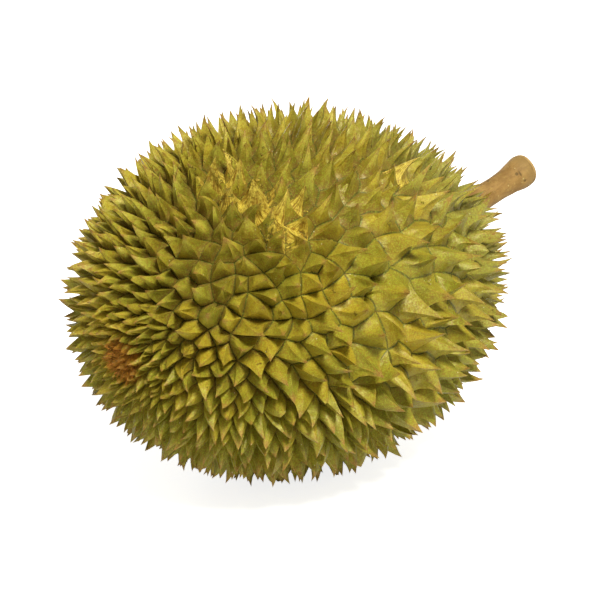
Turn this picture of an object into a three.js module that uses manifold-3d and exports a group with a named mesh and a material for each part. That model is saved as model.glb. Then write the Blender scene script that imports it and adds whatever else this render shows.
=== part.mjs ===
// A whole durian lying on its side, in millimetres: the husk, grown in one piece with its spines, and
// the stem that it hung by. +X runs from the blossom end to the stem, +Z is up, and the blunted tips of
// the spines under it stand on z = 0.
//
// The husk is one closed polyhedron. Spine seeds are scattered over a smooth ovoid, and the valleys
// between them form the seeds' cells. Each cell carries a pyramid, whose ridges run from the cell's
// corners to the tip.

import * as THREE from "three";
import { ConvexHull } from "three/addons/math/ConvexHull.js";
import { mergeVertices } from "three/addons/utils/BufferGeometryUtils.js";
import Module from "manifold-3d";

const { clamp, degToRad, lerp, smoothstep } = THREE.MathUtils;

// The ovoid that the valleys between the spines lie on.
const BODY = {
  halfLength: 113.4,
  radius: 83.8,
  taper: -0.058, // below 0, the blossom half is the wider one
  shoulder: 0.13, // how much fuller one side is at the stem end
  shoulderTurn: degToRad(-70), // where round the X axis that side lies, from +Y towards +Z
  lobes: 5, // one for each chamber of seeds
  lobeHeight: 0.012,
};

// The fruit hung a little askew: how far its ends lie off the X axis.
const ENDS = { stemRise: degToRad(9), blossomDrop: degToRad(2), blossomAside: degToRad(8.5) };

// Lengths from the blossom end to the stem end; spacing is the distance between neighbouring spines.
const SPINES = {
  spacing: { blossom: 4.7, nearBlossom: 8.8, middle: 14.2, stem: 7.4 },
  largeSide: degToRad(160), // the flank where the spines are largest, as a turn round the X axis
  largeBy: 0.27,
  sizeSpread: 0.4,
  shortestValley: 0.42, // as a share of the spacing: four spines meet where one would be shorter
  usualReach: 0.58, // from a spine's foot to its corners, as a share of the spacing
  height: { blossom: 5.5, nearBlossom: 10.8, middle: 14.6, stem: 12 },
  heightSpread: 0.17,
  lean: 0.27, // random sideways lean of a tip, as a share of its height
  stemwardLean: 0.1,
  collar: 12, // spines in the ring round the stem
  collarRadius: 14.5,
};

// Places along the growth axis, -1 at the blossom end and 1 at the stem end, between which lengths change.
const ZONES = {
  scar: [-1, -0.9],
  blossomHalf: [-1.02, 0.05],
  stemHalf: [0.4, 0.98],
  leaning: [-0.5, 0.6],
};

const SEAT = { radius: 8.2, depth: 4.2, gap: 0.35 }; // the pit that holds the stem's foot
const REST = { cut: 4, reach: 42, longest: 1.35 }; // the tips it lies on

const STEM = {
  length: 57,
  footRadius: 7.3,
  neckRadius: 7,
  knobRadius: 9.1,
  knobLength: 16,
  knobOffset: 1, // the knob swells more on its upper side
  sides: 28,
};

const RIND = new THREE.MeshStandardMaterial({ name: "rind", color: 0x9a9230, roughness: 0.62 });
const BARK = new THREE.MeshStandardMaterial({ name: "bark", color: 0xa98350, roughness: 0.85 });

// ---------------------------------------------------------------- directions and chance

const UP = new THREE.Vector3(0, 0, 1);
const STEM_END = new THREE.Vector3(Math.cos(ENDS.stemRise), 0, Math.sin(ENDS.stemRise));
const BLOSSOM_END = new THREE.Vector3(-1, -Math.tan(ENDS.blossomAside), -Math.tan(ENDS.blossomDrop));
BLOSSOM_END.normalize();
const GROWTH = STEM_END.clone().sub(BLOSSOM_END).normalize();

// A repeatable stream of numbers from 0 to 1 (mulberry32).
function randomStream(state) {
  return () => {
    state = (state + 0x6d2b79f5) | 0;
    let t = Math.imul(state ^ (state >>> 15), 1 | state);
    t = (t + Math.imul(t ^ (t >>> 7), 61 | t)) ^ t;
    return ((t ^ (t >>> 14)) >>> 0) / 4294967296;
  };
}

const random = randomStream(20);
const spread = (share) => 1 + share * (2 * random() - 1);

function randomDirection() {
  const x = 2 * random() - 1;
  const turn = 2 * Math.PI * random();
  const out = Math.sqrt(1 - x * x);
  return new THREE.Vector3(x, out * Math.cos(turn), out * Math.sin(turn));
}

// Two unit vectors square to a direction and to each other, anticlockwise seen from outside.
function tangents(dir) {
  const east = new THREE.Vector3().crossVectors(UP, dir).normalize();
  return [east, new THREE.Vector3().crossVectors(dir, east)];
}

// A length that changes from the blossom end over the middle to the stem end.
function along(dir, { blossom, nearBlossom, middle, stem }) {
  const polar = dir.dot(GROWTH);
  const low = lerp(blossom, nearBlossom, smoothstep(polar, ...ZONES.scar));
  const half = lerp(low, middle, smoothstep(polar, ...ZONES.blossomHalf));
  return lerp(half, stem, smoothstep(polar, ...ZONES.stemHalf));
}

// ---------------------------------------------------------------- the ovoid

function bodyPoint(dir) {
  const turn = Math.atan2(dir.z, dir.y);
  const out = Math.hypot(dir.y, dir.z);
  const side = 1 + BODY.shoulder * ((1 + dir.x) / 2) * Math.cos(turn - BODY.shoulderTurn);
  const lobe = 1 + BODY.lobeHeight * out * out * Math.cos(BODY.lobes * turn);
  const radius = BODY.radius * out * (1 + BODY.taper * dir.x) * side * lobe;
  return new THREE.Vector3(BODY.halfLength * dir.x, radius * Math.cos(turn), radius * Math.sin(turn));
}

function bodyNormal(dir) {
  const step = 0.02;
  const [east, north] = tangents(dir);
  const at = (tangent, sign) => bodyPoint(dir.clone().addScaledVector(tangent, sign * step).normalize());
  const alongEast = at(east, 1).sub(at(east, -1));
  const alongNorth = at(north, 1).sub(at(north, -1));
  return alongEast.cross(alongNorth).normalize();
}

// The direction of a body point that lies a given distance from the stem's axis.
function directionNearStem(turn, distance) {
  const root = bodyPoint(STEM_END);
  const normal = bodyNormal(STEM_END);
  const [east, north] = tangents(STEM_END);
  const aside = east.multiplyScalar(Math.cos(turn)).addScaledVector(north, Math.sin(turn));
  const refinements = 6;
  let step = distance / BODY.radius;
  let dir;
  for (let n = 0; n < refinements; n++) {
    dir = STEM_END.clone().addScaledVector(aside, step).normalize();
    const offset = bodyPoint(dir).sub(root);
    step *= distance / offset.addScaledVector(normal, -offset.dot(normal)).length();
  }
  return dir;
}

// ---------------------------------------------------------------- where the spines stand

function spacingAt(dir) {
  const turn = Math.atan2(dir.z, dir.y);
  const flank = Math.hypot(dir.y, dir.z) * Math.cos(2 * (turn - SPINES.largeSide));
  return along(dir, SPINES.spacing) * (1 + SPINES.largeBy * flank);
}

// The stem's seat and the collar round it come first, then seeds are thrown until no more fit.
function scatterSeeds() {
  const tries = 60000;
  const throwGap = 0.79; // a thrown seed's least distance, as a share of the spacing that comes out
  const seeds = [];
  const plant = (dir, gap) => seeds.push({ dir, at: bodyPoint(dir), gap });
  plant(STEM_END.clone(), 2 * SPINES.collarRadius);
  for (let i = 0; i < SPINES.collar; i++) {
    const turn = (2 * Math.PI * i) / SPINES.collar;
    plant(directionNearStem(turn, SPINES.collarRadius), SPINES.spacing.stem * throwGap);
  }
  const fixed = seeds.length;
  plant(BLOSSOM_END.clone(), SPINES.spacing.blossom * throwGap);
  for (let n = 0; n < tries; n++) {
    const dir = randomDirection();
    const at = bodyPoint(dir);
    const gap = spacingAt(dir) * throwGap * spread(SPINES.sizeSpread);
    const fits = seeds.every((other) => other.at.distanceTo(at) > (gap + other.gap) / 2);
    if (fits) seeds.push({ dir, at, gap });
  }
  relax(seeds, fixed);
  return seeds;
}

// Moves each seed after the fixed ones to the middle of its own cell, so that neighbours share the room.
function relax(seeds, fixed) {
  const { corners, rings } = cellsOf(seeds);
  for (let i = fixed; i < seeds.length; i++) {
    seeds[i].dir = rings[i].reduce((sum, k) => sum.add(corners[k]), new THREE.Vector3()).normalize();
    seeds[i].at = bodyPoint(seeds[i].dir);
  }
}

// The seeds' cells: corner directions, one for each three neighbouring seeds, and each seed's ring of them.
// A corner lies between the three seeds' centroid and the point at one distance from all three.
function cellsOf(seeds) {
  const centroidShare = 0.3;
  const hull = new ConvexHull().setFromPoints(seeds.map((seed) => seed.dir));
  const seedOf = new Map(seeds.map((seed, i) => [seed.dir, i]));
  const corners = [];
  const rings = seeds.map(() => []);
  for (const face of hull.faces) {
    const three = [0, 1, 2].map((k) => face.getEdge(k).head().point);
    const centroid = three[0].clone().add(three[1]).add(three[2]).normalize();
    three.forEach((dir) => rings[seedOf.get(dir)].push(corners.length));
    corners.push(centroid.multiplyScalar(centroidShare).add(face.normal).normalize());
  }
  rings.forEach((ring, i) => sortRound(ring, corners, seeds[i].dir));
  return { corners, rings };
}

// Draws together the two ends of every valley that is too short, and gives the seeds' rings without it.
function withoutShortValleys(corners, rings) {
  const joinedTo = corners.map((corner, k) => k);
  const settled = (k) => (joinedTo[k] === k ? k : settled(joinedTo[k]));
  for (const ring of rings) {
    ring.forEach((corner, i) => {
      const a = settled(corner);
      const b = settled(ring[(i + 1) % ring.length]);
      const length = bodyPoint(corners[a]).distanceTo(bodyPoint(corners[b]));
      if (length < SPINES.shortestValley * spacingAt(corners[a])) joinedTo[b] = a;
    });
  }
  return rings.map((ring) => ring.map(settled).filter((k, i, all) => k !== all[(i + 1) % all.length]));
}

function sortRound(ring, corners, dir) {
  const [east, north] = tangents(dir);
  const angle = (k) => Math.atan2(corners[k].dot(north), corners[k].dot(east));
  ring.sort((a, b) => angle(a) - angle(b));
}

// ---------------------------------------------------------------- the husk

function tipOf(seed, ring, valley) {
  const foot = ring.reduce((sum, k) => sum.add(valley[k]), new THREE.Vector3()).divideScalar(ring.length);
  const reach = ring.reduce((sum, k) => sum + valley[k].distanceTo(foot), 0) / ring.length;
  const stoutness = Math.sqrt(reach / (SPINES.usualReach * along(seed.dir, SPINES.spacing)));
  const normal = bodyNormal(seed.dir);
  const height = along(seed.dir, SPINES.height) * spread(SPINES.heightSpread) * stoutness;
  const aside = new THREE.Vector3(spread(1) - 1, spread(1) - 1, spread(1) - 1).multiplyScalar(SPINES.lean);
  aside.addScaledVector(GROWTH, SPINES.stemwardLean * smoothstep(seed.dir.dot(GROWTH), ...ZONES.leaning));
  aside.addScaledVector(normal, -aside.dot(normal));
  return foot.addScaledVector(normal.add(aside), height);
}

// The pit for the stem: its rim is a ring of corners at one distance from the stem's axis.
function sinkSeat(valley, ring, tips) {
  const root = bodyPoint(STEM_END);
  const normal = bodyNormal(STEM_END);
  for (const k of ring) {
    const offset = valley[k].clone().sub(root);
    const height = offset.dot(normal);
    const aside = offset.addScaledVector(normal, -height).setLength(SEAT.radius);
    valley[k] = root.clone().add(aside).addScaledVector(normal, height);
  }
  tips[0] = root.addScaledVector(normal, -SEAT.depth);
}

// Lengthens the tips under the fruit's weight so that all of them reach the surface it lies on.
function levelFeet(tips, seeds) {
  const floor = Math.min(...tips.map((tip) => tip.z)) + REST.cut;
  tips.forEach((tip, i) => {
    const foot = seeds[i].at;
    const stretch = (floor - REST.cut / 2 - foot.z) / (tip.z - foot.z);
    if (foot.z < 0 && Math.hypot(tip.x, tip.y) < REST.reach && stretch > 1 && stretch < REST.longest) {
      tip.sub(foot).multiplyScalar(stretch).add(foot);
    }
  });
  return floor;
}

function huskGeometry() {
  const seeds = scatterSeeds();
  const cells = cellsOf(seeds);
  const rings = withoutShortValleys(cells.corners, cells.rings);
  const valley = cells.corners.map(bodyPoint);
  const tips = seeds.map((seed, i) => tipOf(seed, rings[i], valley));
  sinkSeat(valley, rings[0], tips);
  const floor = levelFeet(tips, seeds);
  const index = [];
  rings.forEach((ring, i) => {
    ring.forEach((corner, k) => index.push(corner, ring[(k + 1) % ring.length], valley.length + i));
  });
  const sharp = new THREE.BufferGeometry().setFromPoints([...valley, ...tips]).setIndex(index);
  return bluntUnder(sharp, floor);
}

// ---------------------------------------------------------------- cutting

const wasm = await Module();
wasm.setup();

function solidOf(geometry) {
  const bare = geometry.clone();
  ["normal", "uv"].forEach((name) => bare.deleteAttribute(name));
  const weld = 1e-4;
  const merged = mergeVertices(bare, weld);
  const vertProperties = merged.attributes.position.array;
  return new wasm.Manifold(new wasm.Mesh({ numProp: 3, vertProperties, triVerts: merged.index.array }));
}

function geometryOf(solid) {
  const { vertProperties, triVerts } = solid.getMesh();
  return new THREE.BufferGeometry()
    .setAttribute("position", new THREE.BufferAttribute(vertProperties, 3))
    .setIndex(new THREE.BufferAttribute(triVerts, 1));
}

// Takes away what lies under the floor, which leaves the tips it rests on blunt and flat.
function bluntUnder(geometry, floor) {
  const size = 600;
  const below = new THREE.BoxGeometry(size, size, size).translate(0, 0, floor - size / 2);
  return geometryOf(solidOf(geometry).subtract(solidOf(below)));
}

// ---------------------------------------------------------------- the stem

// Radius against length from the foot: a round neck, and a swollen knob where it parted from the branch.
function stemProfile() {
  const { length, footRadius, neckRadius, knobRadius, knobLength } = STEM;
  const knobFrom = length - knobLength;
  const profile = [new THREE.Vector2(0, SEAT.gap - SEAT.depth), new THREE.Vector2(footRadius, -0.5)];
  const neckSteps = 7;
  for (let i = 1; i <= neckSteps; i++) {
    const t = i / neckSteps;
    profile.push(new THREE.Vector2(lerp(footRadius, neckRadius, smoothstep(t, 0, 0.6)), knobFrom * t));
  }
  const knobSteps = 10;
  const widestAt = 0.6; // share of the knob's length
  const flattening = 0.9; // of the knob's end, from 0 for none to 1 for a half ball
  for (let i = 1; i < knobSteps; i++) {
    const t = i / knobSteps;
    const cap = clamp((t - widestAt) / (1 - widestAt), 0, 1);
    const swollen = lerp(neckRadius, knobRadius, smoothstep(t, 0, widestAt));
    const radius = swollen * Math.sqrt(1 - flattening * cap * cap);
    profile.push(new THREE.Vector2(radius, knobFrom + knobLength * t));
  }
  profile.push(new THREE.Vector2(0, length));
  return profile;
}

// The stem stands square to the husk at its seat, with its own +X on the upper side.
function stemMesh() {
  const stem = named("stem", new THREE.LatheGeometry(stemProfile(), STEM.sides), BARK);
  const position = stem.geometry.attributes.position;
  const swellFrom = STEM.length - 1.5 * STEM.knobLength;
  for (let i = 0; i < position.count; i++) {
    const knob = smoothstep(position.getY(i), swellFrom, STEM.length);
    position.setX(i, position.getX(i) + STEM.knobOffset * knob);
  }
  const outward = bodyNormal(STEM_END);
  const upper = UP.clone().addScaledVector(outward, -UP.dot(outward)).normalize();
  const aside = new THREE.Vector3().crossVectors(upper, outward);
  stem.quaternion.setFromRotationMatrix(new THREE.Matrix4().makeBasis(upper, outward, aside));
  stem.position.copy(bodyPoint(STEM_END));
  return stem;
}

// ---------------------------------------------------------------- the fruit

function named(name, geometry, material) {
  const mesh = new THREE.Mesh(geometry, material);
  mesh.name = name;
  return mesh;
}

const durian = new THREE.Group();
durian.add(named("husk", huskGeometry(), RIND), stemMesh());
const everyVertex = true;
const box = new THREE.Box3().setFromObject(durian, everyVertex);
durian.position.set(-(box.min.x + box.max.x) / 2, -(box.min.y + box.max.y) / 2, -box.min.z);

export default durian;
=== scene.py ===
"""A whole durian lying on its side: the visual model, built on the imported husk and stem.

The husk starts as a merged copy of the CAD husk, whose straight pyramids are cut into rows and
drawn in to hollow-sided, hooked spines. The stem is pulled up from a ring along the CAD stem's
axis. All lengths are in metres, unless a name or the comment on it says millimetres.
"""

import math

import bmesh
import bpy
import numpy as np
from mathutils import Matrix, Vector


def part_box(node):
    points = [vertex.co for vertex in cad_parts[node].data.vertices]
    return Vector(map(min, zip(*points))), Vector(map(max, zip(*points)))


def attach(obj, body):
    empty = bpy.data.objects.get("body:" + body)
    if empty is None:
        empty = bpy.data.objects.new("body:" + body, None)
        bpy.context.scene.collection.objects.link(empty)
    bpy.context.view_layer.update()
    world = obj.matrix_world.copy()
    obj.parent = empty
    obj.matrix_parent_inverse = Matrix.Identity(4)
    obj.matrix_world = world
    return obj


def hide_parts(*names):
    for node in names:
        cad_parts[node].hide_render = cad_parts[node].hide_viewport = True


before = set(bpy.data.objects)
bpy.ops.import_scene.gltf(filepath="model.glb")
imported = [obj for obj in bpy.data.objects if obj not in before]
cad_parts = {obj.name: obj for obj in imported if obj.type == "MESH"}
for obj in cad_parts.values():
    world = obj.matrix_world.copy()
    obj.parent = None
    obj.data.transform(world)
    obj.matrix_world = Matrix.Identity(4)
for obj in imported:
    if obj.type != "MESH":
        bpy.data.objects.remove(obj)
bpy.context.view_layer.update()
husk_low, husk_high = (Vector(corner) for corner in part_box("husk"))
husk_middle = (husk_low + husk_high) / 2

MM = 0.001
chance = np.random.default_rng(7)

# -------------------------------------------------------------- camera

BODY_CENTRE = Vector((-0.02308, -0.00390, 0.09909))
VIEW_FROM = (math.radians(-40.8), math.radians(21.4))  # azimuth and elevation
VIEW_DISTANCE = 1.1
VIEW_ACROSS = 0.3032  # what the view takes in at the fruit
VIEW_SHIFT = Vector((0.33, -3.76, -8.07)) * MM
VIEW_TARGET = BODY_CENTRE + VIEW_SHIFT
SENSOR_WIDTH = 36  # millimetres
CLIP_NEAR, CLIP_FAR = 0.01, 100


def from_direction(azimuth, elevation):
    """The unit vector towards a viewer; azimuth 0 looks along +Y."""
    level = math.cos(elevation)
    return Vector((math.sin(azimuth) * level, -math.cos(azimuth) * level, math.sin(elevation)))


view_back = from_direction(*VIEW_FROM)
view_right = Vector((0, 0, 1)).cross(view_back).normalized()
view_up = view_back.cross(view_right)

camera = bpy.data.objects.new("camera", bpy.data.cameras.new("camera"))
bpy.context.scene.collection.objects.link(camera)
camera.location = VIEW_TARGET + view_back * VIEW_DISTANCE
camera.rotation_euler = view_back.to_track_quat("Z", "Y").to_euler()
camera.data.sensor_width = SENSOR_WIDTH
camera.data.lens = SENSOR_WIDTH * VIEW_DISTANCE / VIEW_ACROSS
camera.data.clip_start = CLIP_NEAR
camera.data.clip_end = CLIP_FAR
bpy.context.scene.camera = camera

# -------------------------------------------------------------- the smooth body under the spines

HALF_LENGTH = 0.1134
RADIUS = 0.0838
TAPER = -0.058  # below 0, the body is thinner towards the stem
SHOULDER = 0.13  # how far the stem's half bulges to one side
SHOULDER_TURN = math.radians(-70)
LOBES = 5
LOBE_HEIGHT = 0.012
STEM_RISE = math.radians(9)
BLOSSOM_ASIDE = math.radians(8.5)
BLOSSOM_DROP = math.radians(2)
SCAR_ASIDE = math.radians(3.5)
SCAR_DROP = math.radians(6.4)
WAY_ROUNDS = 5
SLOPE_STEP = 0.5 * MM


def blossom_way(aside, drop):
    """The unit direction of a point near the blossom's end."""
    way = np.array([-1, -math.tan(aside), -math.tan(drop)])
    return way / np.linalg.norm(way)


STEM_WAY = np.array([math.cos(STEM_RISE), 0, math.sin(STEM_RISE)])
BLOSSOM_WAY = blossom_way(BLOSSOM_ASIDE, BLOSSOM_DROP)  # where the smallest spines are
SCAR_WAY = blossom_way(SCAR_ASIDE, SCAR_DROP)  # where the scar lies, a little below them
GROWTH = (STEM_WAY - BLOSSOM_WAY) / np.linalg.norm(STEM_WAY - BLOSSOM_WAY)


def across_at(way):
    """The body's half thickness in the directions way, without their own distance from the axis."""
    turn = np.arctan2(way[:, 2], way[:, 1])
    out = np.hypot(way[:, 1], way[:, 2])
    side = 1 + SHOULDER * (1 + way[:, 0]) / 2 * np.cos(turn - SHOULDER_TURN)
    lobe = 1 + LOBE_HEIGHT * out * out * np.cos(LOBES * turn)
    return RADIUS * (1 + TAPER * way[:, 0]) * side * lobe


def body_point(way):
    """The points where the unit directions way leave the body."""
    scaled = way * np.array([HALF_LENGTH, 1, 1])
    scaled[:, 1:] *= across_at(way)[:, None]
    return scaled + np.array(BODY_CENTRE)


def body_way(points):
    """The unit directions of points, and how far out they lie, which is 1 on the body."""
    offset = points - np.array(BODY_CENTRE)
    across = np.full(len(points), RADIUS)
    for _ in range(WAY_ROUNDS):
        way = offset / np.stack([np.full(len(points), HALF_LENGTH), across, across], 1)
        level = np.linalg.norm(way, axis=1)
        way = way / level[:, None]
        across = across_at(way)
    return way, level


def body_normal(points):
    """The unit normals of the body where points lie on or near it."""
    slope = np.zeros_like(points)
    for axis in range(3):
        shift = np.zeros(3)
        shift[axis] = SLOPE_STEP
        slope[:, axis] = body_way(points + shift)[1] - body_way(points - shift)[1]
    return slope / np.linalg.norm(slope, axis=1)[:, None]


def eased(value, low, high):
    """0 up to low and 1 from high, with an eased start and end between them."""
    t = np.clip((value - low) / (high - low), 0, 1)
    return t * t * (3 - 2 * t)


stem_root = body_point(STEM_WAY[None])[0]
stem_axis = body_normal(stem_root[None])[0]
scar_middle = body_point(SCAR_WAY[None])[0]
scar_axis = body_normal(scar_middle[None])[0]

# -------------------------------------------------------------- small helpers for meshes


def new_piece(name, mesh):
    """An object of that mesh, which alone is selected and active."""
    piece = bpy.data.objects.new(name, mesh)
    bpy.context.scene.collection.objects.link(piece)
    bpy.ops.object.select_all(action="DESELECT")
    piece.select_set(True)
    bpy.context.view_layer.objects.active = piece
    return piece


def editing():
    """Opens the active piece in edit mode, with all of it selected."""
    bpy.ops.object.mode_set(mode="EDIT")
    bpy.ops.mesh.select_all(action="SELECT")


def done_editing():
    bpy.ops.object.mode_set(mode="OBJECT")


def merge_doubles(threshold):
    editing()
    bpy.ops.mesh.remove_doubles(threshold=threshold)
    done_editing()


# A slanting direction, along which no two parts of a ring lie equally far.
SORT_WAY = Vector((1, math.sqrt(2), math.e))


def put_in_order(mesh):
    """Numbers a mesh's parts by their place, as extrude numbers them differently in each run."""
    made = bmesh.new()
    made.from_mesh(mesh)
    made.verts.sort(key=lambda point: point.co.dot(SORT_WAY))
    made.edges.sort(key=lambda edge: (edge.verts[0].co + edge.verts[1].co).dot(SORT_WAY))
    made.faces.sort(key=lambda face: face.calc_center_median().dot(SORT_WAY))
    made.to_mesh(mesh)
    made.free()


def pull_up(radius, low, sides, steps):
    """Draws a closed stalk in a new piece: a flat ring, extruded by each step and then scaled."""
    bpy.ops.object.mode_set(mode="EDIT")
    bpy.ops.mesh.primitive_circle_add(
        vertices=sides, radius=radius, location=(0, 0, low), fill_type="NGON"
    )
    for lift, scale in steps:
        bpy.ops.mesh.extrude_region_move(TRANSFORM_OT_translate={"value": lift})
        bpy.ops.transform.resize(value=scale)
    bpy.ops.mesh.select_all(action="SELECT")
    bpy.ops.mesh.normals_make_consistent(inside=False)
    done_editing()
    put_in_order(bpy.context.object.data)


def points_of(mesh):
    flat = np.empty(3 * len(mesh.vertices), np.float32)
    mesh.vertices.foreach_get("co", flat)
    return flat.reshape(-1, 3).astype(float)


def set_points(mesh, points):
    mesh.vertices.foreach_set("co", points.astype(np.float32).ravel())
    mesh.update()


def triangles_of(mesh):
    corners = np.empty(len(mesh.loops), np.int32)
    mesh.loops.foreach_get("vertex_index", corners)
    return corners.reshape(-1, 3)


def write_attribute(mesh, name, kind, domain, values):
    field = "vector" if kind == "FLOAT_VECTOR" else "value"
    stored = np.int32 if kind == "INT" else np.float32
    made = mesh.attributes.new(name, kind, domain)
    made.data.foreach_set(field, np.ascontiguousarray(values, dtype=stored).ravel())


# -------------------------------------------------------------- husk: the cage of pyramids

FLOOR_TOUCH = 1e-5
WELD = 1e-6
SPINE_LEAST = 0.012  # how far past the body a tip lies at least, as a share of the body's size


def sharpen_feet(mesh):
    """Draws each blunted foot back to the point where the planes of its spine's sides meet."""
    points = points_of(mesh)
    faces = triangles_of(mesh)
    low = points[:, 2] < FLOOR_TOUCH
    group = np.arange(len(points))
    flat = faces[low[faces].all(axis=1)]
    for _ in range(len(flat)):
        least = group[flat].min(axis=1)
        before = group.copy()
        for side in range(3):
            np.minimum.at(group, flat[:, side], least)
        if (group == before).all():
            break
    first, second, third = (points[faces[:, corner]] for corner in range(3))
    normals = np.cross(second - first, third - first)
    for foot in np.unique(group[low]):
        mine = low & (group == foot)
        beside = mine[faces].any(axis=1) & ~low[faces].all(axis=1)
        planes = normals[beside] / np.linalg.norm(normals[beside], axis=1)[:, None]
        heights = (planes * points[faces[beside, 0]]).sum(axis=1)
        points[mine] = np.linalg.lstsq(planes, heights, rcond=None)[0]
    set_points(mesh, points)


husk = new_piece("husk_rind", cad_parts["husk"].data.copy())
husk.data.materials.clear()
bpy.ops.mesh.customdata_custom_splitnormals_clear()
merge_doubles(WELD)
sharpen_feet(husk.data)
merge_doubles(WELD)

cage = points_of(husk.data)
sides = triangles_of(husk.data)
is_tip = np.abs(body_way(cage)[1] - 1) > SPINE_LEAST
tip_corner = is_tip[sides].argmax(axis=1)
if not (is_tip[sides].sum(axis=1) == 1).all():
    raise ValueError("a side of a spine has no tip of its own")
turned = (tip_corner[:, None] + np.array([1, 2, 0])) % 3
side_a, side_b, side_tip = np.take_along_axis(sides, turned, axis=1).T

# From here on, "spine" counts the tips, and "side" counts the cage's triangles.
tips, spine_of = np.unique(side_tip, return_inverse=True)
spine_of = spine_of.ravel()
side_count = np.bincount(spine_of)


def per_spine(values):
    """The mean of a value of the sides over each spine."""
    total = np.zeros((len(tips),) + values.shape[1:])
    np.add.at(total, spine_of, values)
    return total / side_count.reshape((-1,) + (1,) * (values.ndim - 1))


foot = per_spine(cage[side_a])
rise = cage[tips] - foot
height = np.linalg.norm(rise, axis=1)
reach = per_spine(np.linalg.norm(cage[side_a] - foot[spine_of], axis=1))
foot_way = body_way(foot)[0]
outward = body_normal(foot)
is_seat = (rise * outward).sum(axis=1) < 0  # the stem's seat is a spine turned inwards

# -------------------------------------------------------------- husk: the spines' own shapes

CUTS = 4
ROWS = CUTS + 1
# Where each row of a side lies, as a share of its rise.
ROW_RISE = np.array([0, 0.1, 0.3, 0.56, 0.83, 1])

# The spines are plain broad pyramids on one flank, and hollow-sided thorns away from it.
BROAD_TURN = math.radians(158)
BROAD_WAY = np.array([0, math.cos(BROAD_TURN), math.sin(BROAD_TURN)])
# The edges of regions, each as where it starts and where it is whole.
STEM_HALF = (-0.7, 0.25)
BROAD_FLANK = (0.6, 0.95)
UNDERSIDE = (-0.05, 0.5)
TOPSIDE = (0.3, 0.8)

SLIM = (0.8, 0.98)  # how much of the foot the straight part takes up
SLIM_MOST = 0.97
FLARE = (0.98, 1.1)  # above 1, a spine's foot spreads level before it rises
HOLLOW = (0.16, 0.32)  # how far the middle of a side is drawn in between its ridges
SIDE_HOLLOW = (-0.9, 1.9)  # times that, for each side; below 0 it bulges
SIDE_HOLLOW_UNDER = 0.7  # that much less of it under the fruit
TWIST = (-0.22, 0.22)  # radians
HOOK = 1.15  # how far a spine curls towards the way it leans
HOOK_UNEVEN = 0.07
BROKEN = 0.07  # the share of spines with a tip broken off
BROKEN_AT = (0.78, 0.93)
WORN = 0.5  # how much of its height a spine in the middle of the scar has lost
WORN_WITHIN = (5 * MM, 14 * MM)


def spread(low, high):
    return chance.uniform(low, high, len(tips))


blossom_half = 1 - eased(foot_way @ GROWTH, *STEM_HALF)
thorny = 1 - eased(foot_way @ BROAD_WAY, *BROAD_FLANK)
slender = thorny * (1 - blossom_half)
beneath = thorny * eased(-foot_way[:, 2], *UNDERSIDE)
topward = eased(foot_way[:, 2], *TOPSIDE)
REGIONS = {
    "blossom": blossom_half,
    "thorny": thorny,
    "slender": slender,
    "broad": 1 - thorny,
    "beneath": beneath,
    "topward": topward,
}


def by_region(plain, **weights):
    """A value for each spine: the plain one, and a weight times each region's share in it."""
    for region, weight in weights.items():
        plain = plain + weight * REGIONS[region]
    return plain


# Those under the fruit are stouter and curl more.
slim = by_region(spread(*SLIM), thorny=-0.06, slender=-0.2, broad=-0.22)
slim = np.minimum(slim + beneath * by_region(0.14, slender=0.18), SLIM_MOST)
slim = by_region(slim, topward=-0.08)
flare = by_region(spread(*FLARE), thorny=0.08, slender=0.12, broad=0.18)
flare -= beneath * by_region(0.1, slender=0.12)
hollow = by_region(spread(*HOLLOW), blossom=0.04, thorny=0.05, topward=0.1, beneath=-0.08)
side_hollow = chance.uniform(*SIDE_HOLLOW, len(sides)) - SIDE_HOLLOW_UNDER * beneath[spine_of]
side_hollow = np.maximum(side_hollow, SIDE_HOLLOW[0])
twist = spread(*TWIST)
hook = rise - outward * (rise * outward).sum(axis=1)[:, None]
hook = by_region(HOOK, slender=0.3, beneath=0.35, topward=0.2)[:, None] * hook
hook += chance.normal(0, HOOK_UNEVEN, hook.shape) * height[:, None]
hook -= outward * (hook * outward).sum(axis=1)[:, None]
kept = np.where(spread(0, 1) < BROKEN, spread(*BROKEN_AT), 1)
tone = spread(0, 1)
scar_away = np.linalg.norm(foot - scar_middle, axis=1)
worn = 1 - WORN * (1 - eased(scar_away, *WORN_WITHIN))

for values, plain in ((slim, 1), (flare, 1), (hollow, 0), (twist, 0), (hook, 0), (kept, 1)):
    values[is_seat] = plain

# -------------------------------------------------------------- husk: cut into rows and shaped

PIT_DEPTH_MM = 1.1  # how deep the valleys' corners are sunk, on average
PIT_NARROW = 3
CREST = 0.05  # how far a valley rises between its corners, as a share of its length
FURROW_BLOSSOM_MM = 3.0  # how far the valleys are sunk round the blossom's end
FURROW_SIDE_MM = 0.5  # and elsewhere between the thorns
FURROW_TOP_MM = 2.9  # with that much more on the fruit's top
FURROW_TOP = (0.1, 0.7)
FURROW_FADE = 3
TWIST_BY = 0.5  # the shares of the rise by which the twist and the hollow are whole
HOLLOW_BY = 0.3
FOOT_TAPER = 4  # how fast the foot narrows to the straight part

write_attribute(husk.data, "side", "INT", "FACE", np.arange(len(sides)))
pit_depth = chance.gamma(1.0, PIT_DEPTH_MM, len(cage)) * MM
seat_rim = np.zeros(len(cage), bool)
seat_rim[side_a[is_seat[spine_of]]] = True
pit_depth[seat_rim] = 0

editing()
bpy.ops.mesh.subdivide(number_cuts=CUTS)
done_editing()

fine = points_of(husk.data)
fine_faces = triangles_of(husk.data)
face_side = np.empty(len(fine_faces), np.int32)
husk.data.attributes["side"].data.foreach_get("value", face_side)


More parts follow.
